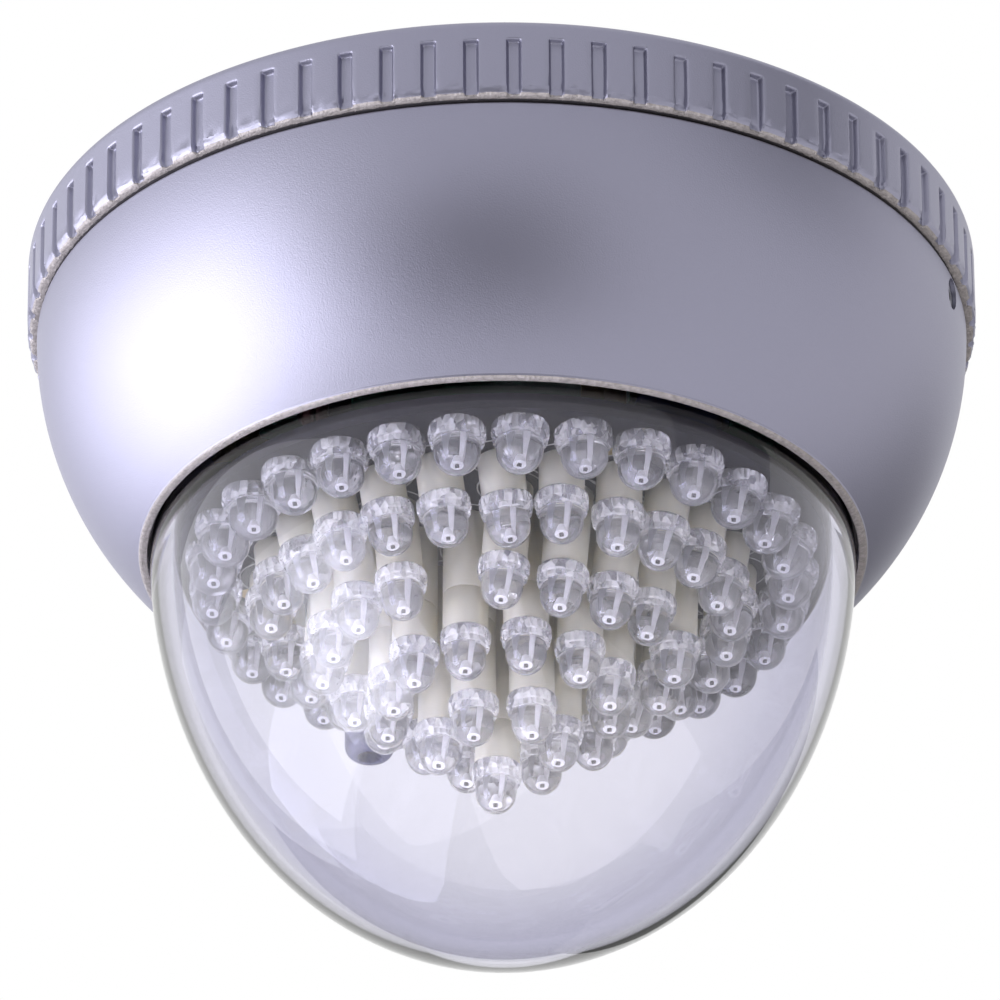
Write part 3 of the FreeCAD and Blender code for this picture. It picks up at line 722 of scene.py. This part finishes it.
cover = {"top": -9.2, "lip": -35.0, "radius": 48.86, "bulge": (13.86, 35.0), "wall": 2.3,
         "land": (36.95, 37.4), "cornerHeight": 0.4, "cornerPull": 0.05, "topEdge": 0.28,
         "topDegrees": -0.6, "lipEdge": 0.14, "seat": (-30.0, 39.85, -29.04),
         "pocket": (46.56, -15.1), "segments": 288, "secondFinishBand": (-0.1, 0.2),
         "rows": {"corner": 8, "lip": 5, "bulge": 64, "top": 6, "hollow": 20},
         "screws": {"azimuths": (74, 254), "height": -11.2, "radius": 1.65, "middle": 48.0,
                    "reach": 6.0, "segments": 40}}


# Cover profile: round the lip's corner by low (1 - t)^2 + 2 bend t (1 - t) + high t^2, up the
# bulge's arc, over the top edge and down the hollow's arc to the dome's seat.
def coverProfile(size):
    middle, bulge = size["bulge"]
    top, lip, rows = size["top"], size["lip"], size["rows"]
    landIn, landOut = size["land"]
    edge, lipEdge = size["topEdge"], size["lipEdge"]
    seat, seatRadius, seatTop = size["seat"]
    pocketRadius, pocketFoot = size["pocket"]
    inner = bulge - size["wall"]
    start = -math.degrees(math.asin((top - lip - size["cornerHeight"]) / bulge))
    cornerR = middle + bulge * math.cos(math.radians(start))
    t = np.linspace(0, 1, rows["corner"])[:, None]
    low, bend = np.array([landOut, lip]), np.array([cornerR - size["cornerPull"], lip])
    high = np.array([cornerR, lip + size["cornerHeight"]])
    corner = (1 - t) ** 2 * low + 2 * t * (1 - t) * bend + t ** 2 * high
    hollowStart = -math.degrees(math.asin((top - pocketFoot) / inner))
    hollowEnd = -math.degrees(math.asin((top - seatTop) / inner))
    return np.vstack([
        arcPoints(landIn + lipEdge, lip + lipEdge, lipEdge, 180, 270, rows["lip"]), corner,
        arcPoints(middle, top, bulge, start, size["topDegrees"], rows["bulge"])[1:],
        arcPoints(size["radius"] - edge, top - edge, edge, 0, 90, rows["top"]),
        [(pocketRadius, top), (pocketRadius, pocketFoot)],
        arcPoints(middle, top, inner, hollowStart, hollowEnd, rows["hollow"]),
        [(seatRadius, seat), (landIn, seat)]])


# Mesh with round holes bored across it along each azimuth.
def boreRadial(piece, holes):
    radius, reach = holes["radius"], holes["reach"]
    for azimuth in holes["azimuths"]:
        cutter = makeLoose("hole_cutter", turnedShape(
            [(0, -reach), (radius, -reach), (radius, reach), (0, reach)], holes["segments"]))
        across = Vector(placeAt(1.0, azimuth))
        turn = across.to_track_quat("Z", "Y").to_matrix().to_4x4()
        middle = across * holes["middle"] + Vector((0, 0, holes["height"]))
        cutter.matrix_world = Matrix.Translation(middle * mm) @ turn
        bore = piece.modifiers.new("bore", "BOOLEAN")
        bore.operation = "DIFFERENCE"
        bore.solver = "EXACT"
        bore.object = cutter
        bpy.context.view_layer.update()
        depsgraph = bpy.context.evaluated_depsgraph_get()
        bored = bpy.data.meshes.new_from_object(piece.evaluated_get(depsgraph))
        piece.modifiers.clear()
        piece.data = bored
        bpy.data.objects.remove(cutter)


def makeCover(size):
    low, high = size["secondFinishBand"]
    shape = turnedShape(coverProfile(size), size["segments"], closed=True)
    shell = makePiece("cover_shell", shape, finish["silverPaint"], sharpAngle=38)
    boreRadial(shell, size["screws"])
    shell.data.set_sharp_from_angle(angle=math.radians(30))
    finishBand(shell, finish["edgePaint"], size["lip"] + low, size["lip"] + high, 0.0)
    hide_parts("cover")


makeCover(cover)
print("cover ready")


# Dome

dome = {"radius": 36.75, "neck": 36.45, "neckBand": (-35.3, 0.5), "equator": -33.8,
        "depth": 45.7, "walls": (2.2, 1.1), "taper": 75.0, "flange": (39.55, -29.4, -27.4),
        "rows": 72, "segments": 256}


# Dome profile: out along the ellipse (R cos t, equator + depth sin t) from the lowest point, in
# to the neck above the cover's lip, round the flange and back down the inner face, which is the
# ellipse moved along its normal by a wall that thins from the equator down.
def domeProfile(size):
    flangeRadius, flangeFoot, flangeTop = size["flange"]
    thick, thin = size["walls"]
    neckStart, neckRun = size["neckBand"]
    degrees = np.linspace(-90, 0, size["rows"])
    t = np.radians(degrees)
    outer = np.column_stack([size["radius"] * np.cos(t),
                             size["equator"] + size["depth"] * np.sin(t)])
    normal = np.column_stack([np.cos(t) / size["radius"], np.sin(t) / size["depth"]])
    normal /= np.linalg.norm(normal, axis=1, keepdims=True)
    wall = thin + (thick - thin) * np.clip(1 + degrees / size["taper"], 0, 1)
    inner = outer - normal * wall[:, None]
    outer[0, 0] = inner[0, 0] = 0.0
    step = np.clip((outer[:, 1] - neckStart) / neckRun, 0, 1)
    outer[:, 0] = np.minimum(outer[:, 0], size["radius"] + (size["neck"] - size["radius"]) * step)
    collar = [(size["neck"], flangeFoot), (flangeRadius, flangeFoot),
              (flangeRadius, flangeTop), (size["radius"] - thick, flangeTop)]
    return np.vstack([outer, collar, inner[::-1]])


domeShell = makePiece("dome_shell", turnedShape(domeProfile(dome), dome["segments"]),
                      finish["clearDome"], sharpAngle=40)
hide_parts("dome")
print("dome ready")


# Diodes

array = {"rings": 5, "pitch": 6.05, "perRing": 6, "step": 4.62, "boardFoot": -36.6,
         "azimuths": (3.4, -0.7, 2.5, 11.7, 29.0, 0.0), "emptyPlaces": {2: 17},
         "sensorPlace": 17, "names": ("outer_ring", "second_ring", "third_ring", "fourth_ring",
                                      "inner_ring", "centre"),
         "girth": (1.0, 0.94, 0.91, 0.89, 0.89, 0.89), "dieDepth": 3.95, "stray": 0.35,
         "rise": (0.0, 1.2, 1.0, 0.9, 0.9, 0.5), "turn": 5.0, "seed": 5}

# How far each diode in view leans to +X and +Y at its die, and how much shorter its spacers
# are, by ring and place: fitted to the places of the chips in the photograph.
leans = [
    {0: (-0.1, -0.1, 0.0), 1: (0.2, -0.1, 0.0), 2: (-0.1, -0.1, 0.0), 3: (-0.1, -0.4, 0.0),
     4: (-0.4, 0.0, 0.0), 5: (-0.5, -0.2, 0.0), 6: (-0.6, -0.8, 0.0), 7: (-0.6, -0.8, 0.0),
     8: (-0.4, -0.9, 0.0), 21: (-0.1, -1.0, 0.0), 22: (-0.2, -1.0, 0.0), 23: (0.1, -1.0, 0.0),
     24: (0.0, -0.7, 0.0), 25: (0.2, -0.6, 0.0), 26: (0.4, -0.8, 0.0), 27: (0.2, -0.3, 0.0),
     28: (0.3, -0.1, 0.0), 29: (0.0, -0.2, 0.0)},
    {0: (1.0, 0.9, 0.0), 1: (-0.1, -0.3, 0.3), 2: (-0.3, 0.1, 0.3), 3: (-1.2, -0.1, 0.6),
     4: (-1.4, -0.7, 1.0), 5: (-1.3, -1.0, 0.8), 6: (-0.7, -1.1, 1.3), 7: (-0.1, -1.4, 1.6),
     8: (0.9, -1.3, 1.7), 9: (1.5, -0.8, 1.5), 18: (0.1, -1.7, 1.8), 19: (0.9, -1.3, 1.4),
     20: (1.7, -0.3, 1.1), 21: (1.4, -0.7, 0.7), 22: (1.2, 0.0, 0.6), 23: (1.0, 0.1, 0.2)},
    {0: (-1.0, -0.3, 0.4), 1: (-1.2, -0.4, 0.1), 2: (-1.5, -0.7, 0.3), 3: (-1.4, -0.7, 1.2),
     4: (-0.4, 0.1, 0.0), 5: (-1.5, 0.0, 0.1), 6: (-1.9, -0.6, 0.3), 12: (0.4, -0.6, 0.6),
     13: (-0.8, -1.4, 1.2), 14: (0.2, -1.0, 1.1), 15: (0.5, -1.2, 1.1), 16: (0.9, -1.0, 0.8)},
    {0: (-0.2, -1.0, 0.5), 1: (-0.3, -0.7, 0.6), 2: (-0.6, -0.5, 0.4), 3: (-0.9, -0.6, 1.0),
     8: (-0.6, -0.4, 1.0), 9: (0.5, -0.7, 0.6), 10: (-0.1, -0.6, 0.8), 11: (-0.1, -0.3, 0.5)},
    {0: (-0.1, -0.7, 0.8), 1: (-0.5, -0.3, 0.6), 2: (0.8, -0.7, 0.6), 3: (-1.0, -0.7, 0.9),
     4: (-0.7, -0.6, 0.3), 5: (0.0, -0.3, 0.9)},
    {0: (-0.9, -0.6, 0.3)}]


# Places of one ring: radius (rings - ring) * pitch and equal steps of azimuth, without the
# sensor's place and the empty one.
def ringPlaces(ring):
    count = max((array["rings"] - ring) * array["perRing"], 1)
    radius = (array["rings"] - ring) * array["pitch"]
    places = np.arange(count)
    taken = {0: array["sensorPlace"], **array["emptyPlaces"]}
    if ring in taken:
        places = np.delete(places, taken[ring])
    return radius, array["azimuths"][ring] + 360.0 * places / count, places


# Matrices of one ring, and how far its spacers shorten: each stack turns about its foot on the
# board until its die has moved sideways by its lean, or by a small seeded one out of view.
def ringMatrices(ring):
    radius, azimuths, places = ringPlaces(ring)
    rng = np.random.default_rng(array["seed"] + ring)
    strays = rng.normal(0, array["stray"], (len(places), 2))
    turns = np.radians(rng.normal(0, array["turn"], len(places)))
    drop = ring * array["step"]
    matrices, stretch = [], []
    for azimuth, place, stray, turn in zip(azimuths, places, strays, turns):
        x, y, rise = leans[ring].get(int(place), (*stray, array["rise"][ring]))
        reach = Vector((x, y, rise - drop - array["dieDepth"]))
        bend = Vector((0, 0, -1)).rotation_difference(reach).to_matrix().to_4x4()
        foot = placeAt(radius, azimuth, array["boardFoot"])
        matrices.append(np.array(Matrix.Translation(foot) @ bend
                                 @ Matrix.Translation((0, 0, rise - drop))
                                 @ Matrix.Rotation(turn, 4, "Z")))
        stretch.append(1 - rise / drop if drop else 1.0)
    return np.array(matrices), np.array(stretch)


lens = {"rim": 2.95, "rimHeight": 1.25, "band": 2.78, "foot": 1.95, "body": 2.38,
        "straight": 1.05, "tip": 2.28, "tipRows": 9, "segments": 28, "hazeBelow": 0.03,
        "neckEdge": (0.06, 0.08), "bandEdge": (0.10, 0.12), "stepEdge": (0.03, 0.1),
        "topEdge": ((0.0, 0.3), (0.08, 0.1), (0.3, 0.0))}


# Diode profile from the tip up: half an ellipse, the straight body, the foot's lower band and
# its wider upper rim with rounded edges.
def lensProfile(size):
    rim, band, body = size["rim"], size["band"], size["body"]
    foot, step = -size["foot"], -size["rimHeight"]
    neckIn, neckDown = size["neckEdge"]
    bandIn, bandUp = size["bandEdge"]
    stepIn, stepDown = size["stepEdge"]
    t = np.radians(np.linspace(-90, 0, size["tipRows"]))
    bend = foot - size["straight"]
    tip = np.column_stack([body * np.cos(t), bend + size["tip"] * np.sin(t)])
    tip[0, 0] = 0.0
    rest = [(body, foot - neckDown), (body + neckIn, foot), (band - bandIn, foot),
            (band, foot + bandUp), (band, step - stepDown), (rim - stepIn, step),
            (rim, step + stepDown)]
    rest += [(rim - inset, 0.0 - down) for inset, down in size["topEdge"]]
    return np.vstack([tip, rest, [(0.0, 0.0)]])


# Mask of the faces in the hazy foot of a lens, for its copies one after another.
def footFaces(shape, copies):
    verts, faces = shape
    limit = -lens["foot"] - lens["hazeBelow"]
    heights = [verts[f][:, :, 2].mean(axis=1) for f in faces]
    return np.concatenate([np.tile(z > limit, copies) for z in heights])


frameParts = {"post": {"foot": (0.16, 0.42), "top": (0.26, 0.72), "half": 0.16,
                       "heights": (-3.80, -0.30)},
              "plate": {"foot": (-0.80, -0.66), "top": (-1.00, -0.30), "half": 0.05,
                        "heights": (-3.30, -0.60)},
              "cup": {"bore": 0.20, "rim": 0.54, "foot": 0.24, "height": 0.85, "rimZ": -4.12,
                      "dish": 0.05, "edge": (0.03, 0.04), "segments": 16},
              "die": ((-0.17, -0.17, -4.24), (0.17, 0.17, -3.95))}


# Reflector cup: a bright ring round the die and a cone above it that narrows to the post.
def cupProfile(size):
    low, high = size["rimZ"], size["rimZ"] + size["height"]
    small, wide = size["edge"]
    return [(0.0, low + size["dish"]), (size["bore"], low + small), (size["bore"] + wide, low),
            (size["rim"] - small, low), (size["rim"], low + wide), (size["foot"], high),
            (0.0, high)]


# Blade between two heights whose left and right edges run from a foot to a top width.
def taperedBlade(size):
    low, high = size["heights"]
    verts, faces = boxShape((0, -size["half"], low), (1, size["half"], high))
    share = (verts[:, 2] - low) / (high - low)
    left = size["foot"][0] + (size["top"][0] - size["foot"][0]) * share
    right = size["foot"][1] + (size["top"][1] - size["foot"][1]) * share
    verts[:, 0] = left + (right - left) * verts[:, 0]
    return verts, faces


# The lenses of a ring are one piece, and each kind of part inside the lenses is one piece.
def makeDiodes():
    lensVerts, lensFaces = turnedShape(lensProfile(lens), lens["segments"])
    cup = frameParts["cup"]
    # The cups and posts carry a painted reflection in their light colour.
    inner = {"lead_posts": (taperedBlade(frameParts["post"]), "leadPaintedSheen"),
             "lead_plates": (taperedBlade(frameParts["plate"]), "greyLead"),
             "reflector_cups": (turnedShape(cupProfile(cup), cup["segments"]), "cupPaintedSheen"),
             "dies": (boxShape(*frameParts["die"]), "darkDie")}
    rings = [ringMatrices(ring)[0] for ring in range(len(array["names"]))]
    for matrices, name, girth in zip(rings, array["names"], array["girth"]):
        slim = (lensVerts * [girth, girth, 1.0], lensFaces)
        piece = makePiece("lenses_" + name, copiedShape(slim, matrices),
                          finish["clearEpoxy"], sharpAngle=50)
        piece.data.materials.append(finish["hazyEpoxy"])
        piece.data.polygons.foreach_set("material_index",
                                        footFaces(slim, len(matrices)).astype(np.int32))
        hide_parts("diodes_" + name)
    for name, (shape, look) in inner.items():
        copies = joinedShape([copiedShape(shape, matrices) for matrices in rings])
        makePiece(name, copies, finish[look], sharpAngle=30)


makeDiodes()
print("diodes ready")


# Spacers and board print

spacer = {"radius": 2.35, "bore": 1.95, "section": 9.24, "shortest": 0.1, "edge": 0.14,
          "edgeBend": 0.3, "segments": 24}


# Spacer stack: sections of one length from the board down, the rest last, each with small
# rounded ends.
def spacerProfile(size, length):
    joints = np.arange(0, length + slack, size["section"])
    if length - joints[-1] > size["shortest"]:
        joints = np.append(joints, length)
    radius, edge, bore = size["radius"], size["edge"], size["bore"]
    bend = edge * size["edgeBend"]
    profile = [(bore, 0.0)]
    ends = length - joints[::-1]
    for low, high in zip(ends[:-1], ends[1:]):
        profile += [(radius - edge, low), (radius - bend, low + bend),
                    (radius, low + edge), (radius, high - edge),
                    (radius - bend, high - bend), (radius - edge, high)]
    return profile + [(bore, length)]


# The spacers of a ring are one piece, and each shortens by its stack's rise.
def makeSpacers():
    for ring, name in list(enumerate(array["names"]))[1:]:
        tube = turnedShape(spacerProfile(spacer, ring * array["step"]), spacer["segments"],
                           closed=True)
        matrices, stretch = ringMatrices(ring)
        matrices[:, :, 2] *= stretch[:, None]
        piece = makePiece("tubes_" + name, copiedShape(tube, matrices),
                          finish["whiteNylon"], sharpAngle=40)
        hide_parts("spacers_" + name)


boardPrint = {"radius": 3.45, "width": 0.15, "thick": 0.05, "sink": 0.02, "segments": 40}


# Printed outline round the place of every diode on a spacer.
def makeBoardPrint(size):
    low, high = array["boardFoot"] - size["thick"], array["boardFoot"] + size["sink"]
    rings = []
    for ring in range(1, array["rings"] + 1):
        radius, azimuths = ringPlaces(ring)[:2]
        for azimuth in azimuths:
            rings.append(ringShape(size["radius"] - size["width"], size["radius"], low, high,
                                   placeAt(radius, azimuth), size["segments"]))
    makePiece("board_print", joinedShape(rings), finish["boardPrint"])


makeSpacers()
makeBoardPrint(boardPrint)
print("spacers and board print ready")


# Light sensor's hood

hood = {"place": (30.25, 209.0), "radius": 2.7, "length": 7.2, "round": 1.3, "bore": 2.15,
        "window": (1.3, 1.2), "chamfer": 0.12, "roundRows": 10, "segments": 40}


# Hood: a tube from the board down, with a rounded foot and a window in it.
def makeHood(size):
    outer, foot = size["radius"], array["boardFoot"] - size["length"]
    window, depth = size["window"]
    profile = np.vstack([
        [(window, foot + size["chamfer"]), (window + size["chamfer"], foot)],
        arcPoints(outer - size["round"], foot + size["round"], size["round"], -90, 0,
                  size["roundRows"]),
        [(outer, array["boardFoot"]), (size["bore"], array["boardFoot"]),
         (size["bore"], foot + depth), (window, foot + depth)]])
    verts, faces = turnedShape(profile, size["segments"], closed=True)
    piece = makePiece("hood_shell", (verts + placeAt(*size["place"]), faces),
                      finish["darkHood"], sharpAngle=40)
    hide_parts("sensor_hood")


makeHood(hood)
print("hood ready")


# Finishes of the pieces kept from the solid model

slotFinish = {"silver_paint": "silverPaint", "clear_dome": "clearDome",
              "black_rubber": "blackRubber", "grey_foam": "greyFoam",
              "steel_screw": "screwSteel", "black_board": "boardMask",
              "green_board": "greenMask", "clear_lens": "clearEpoxy",
              "white_nylon": "whiteNylon", "tinned_lead": "tinnedLead",
              "dark_hood": "darkHood", "sensor_cell": "sensorResin",
              "brass_pillar": "pillarBrass", "black_part": "blackMoulding",
              "capacitor_sleeve": "capacitorSleeve", "terminal_green": "terminalPlastic",
              "ferrite": "greyFerrite", "resistor_body": "blackMoulding",
              "wire_sleeve": "wireSleeve", "clamp_plastic": "blackMoulding"}
for part in frame["record"]["subparts"]:
    for slot in frame["nodes"][part["node"]].material_slots:
        slot.material = finish[slotFinish[part["material_slot"]]]
